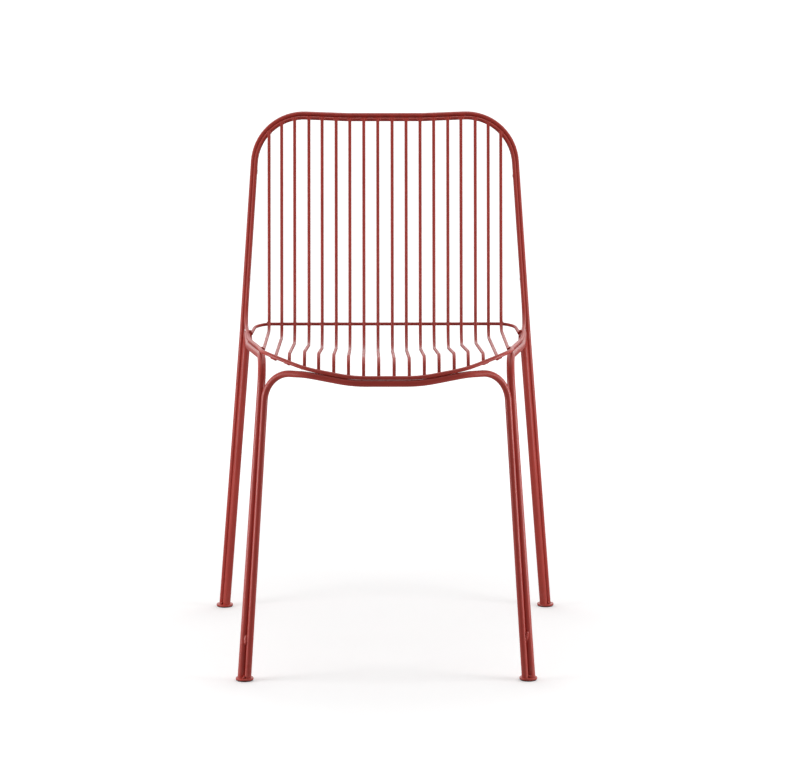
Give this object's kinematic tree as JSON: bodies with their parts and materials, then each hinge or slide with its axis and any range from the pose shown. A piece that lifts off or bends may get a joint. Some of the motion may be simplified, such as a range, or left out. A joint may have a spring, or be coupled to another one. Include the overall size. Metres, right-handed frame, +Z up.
{
  "type": "metal bistro chair",
  "caption": "Metal bistro chair with a dished seat and raked back of slender vertical rods welded inside bent round hoops, on splayed legs with small round feet.",
  "frame": {"origin": "floor level, under the centre of the overall box", "axes": "+Z up, -Y towards the front of the chair, +X to the right as seen from the front"},
  "size_m": [0.5458, 0.5036, 0.8007],
  "materials": {
    "powder_coated_steel": "satin terracotta red powder coat",
    "glide_plastic": "moulded, matt"
  },
  "bodies": {
    "root": {"front_leg_hoop": "powder_coated_steel", "side_leg_hoop_left": "powder_coated_steel", "side_leg_hoop_right": "powder_coated_steel", "back_hoop": "powder_coated_steel", "seat_back_ring": "powder_coated_steel", "rear_seat_bow": "powder_coated_steel", "slat_rod_01": "powder_coated_steel", "slat_rod_02": "powder_coated_steel", "slat_rod_03": "powder_coated_steel", "slat_rod_04": "powder_coated_steel", "slat_rod_05": "powder_coated_steel", "slat_rod_06": "powder_coated_steel", "slat_rod_07": "powder_coated_steel", "slat_rod_08": "powder_coated_steel", "slat_rod_09": "powder_coated_steel", "slat_rod_10": "powder_coated_steel", "slat_rod_11": "powder_coated_steel", "slat_rod_12": "powder_coated_steel", "slat_rod_13": "powder_coated_steel", "slat_rod_14": "powder_coated_steel", "slat_rod_15": "powder_coated_steel", "slat_rod_16": "powder_coated_steel", "slat_rod_17": "powder_coated_steel", "slat_rod_18": "powder_coated_steel", "foot_plate_front_left": "powder_coated_steel", "foot_plate_front_right": "powder_coated_steel", "foot_plate_rear_left": "powder_coated_steel", "foot_plate_rear_right": "powder_coated_steel", "welds_slat_tops": "powder_coated_steel", "welds_slat_tips": "powder_coated_steel", "welds_rear_bow": "powder_coated_steel", "welds_frame": "powder_coated_steel", "welds_feet": "powder_coated_steel", "glide_front_left": "glide_plastic", "glide_front_right": "glide_plastic", "glide_rear_left": "glide_plastic", "glide_rear_right": "glide_plastic"}
  },
  "joints": []
}
